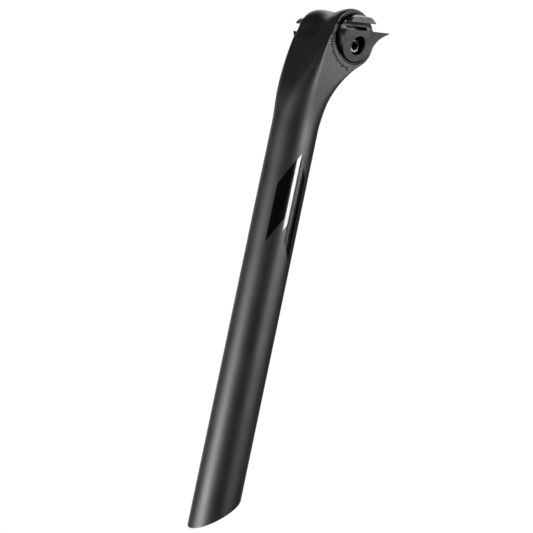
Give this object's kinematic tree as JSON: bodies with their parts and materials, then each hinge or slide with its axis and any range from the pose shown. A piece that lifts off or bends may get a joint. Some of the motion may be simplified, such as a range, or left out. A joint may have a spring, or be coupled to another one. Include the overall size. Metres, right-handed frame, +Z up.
{
  "type": "setback seatpost",
  "caption": "Rigid setback seatpost: a slash-cut round tube rising into a transverse eye, with a side-bolted clamp that holds two saddle rails and tilts in the eye.",
  "frame": {"origin": "on the tube's axis at the minimum-insertion line, where the bicycle's seat tube holds the post", "axes": "+X forward, +Y to the rider's left, +Z up; the saddle rails run level along X and the tube leans back 13.5 degrees"},
  "size_m": [0.1437, 0.0526, 0.3557],
  "materials": {
    "carbon_laminate": "satin",
    "grey_anodised": "satin",
    "black_anodised": "satin",
    "plated_steel": "satin"
  },
  "bodies": {
    "post": {"seatpost_body": "carbon_laminate", "eye_liner_left": "grey_anodised", "eye_liner_right": "grey_anodised"},
    "clamp": {"upper_jaw_left": "black_anodised", "upper_jaw_right": "black_anodised"},
    "left_jaw": {"lower_jaw_left": "black_anodised", "bolt_washer": "plated_steel"},
    "right_jaw": {"lower_jaw_right": "black_anodised", "hex_nut": "plated_steel"},
    "bolt": {"clamp_bolt": "plated_steel"}
  },
  "joints": [
    {"name": "clamp_tilt", "type": "hinge", "parent": "post", "child": "clamp", "pos_m": [-0.07903, 0, 0.24224], "axis": [0, 1, 0], "range_deg": [-15, 15]},
    {"name": "left_jaw_slide", "type": "slide", "parent": "clamp", "child": "left_jaw", "axis": [0, 1, 0], "range_m": [0, 0.003]},
    {"name": "right_jaw_slide", "type": "slide", "parent": "clamp", "child": "right_jaw", "axis": [0, -1, 0], "range_m": [0, 0.003]},
    {"name": "bolt_turn", "type": "hinge", "parent": "left_jaw", "child": "bolt", "pos_m": [-0.07903, 0, 0.23714], "axis": [0, 1, 0], "range_deg": [0, 2160]}
  ],
  "couplings": [
    {"joint": "bolt_turn", "follows": "left_jaw_slide", "rad_per_m": 12566},
    {"joint": "right_jaw_slide", "follows": "left_jaw_slide", "ratio": 1}
  ]
}
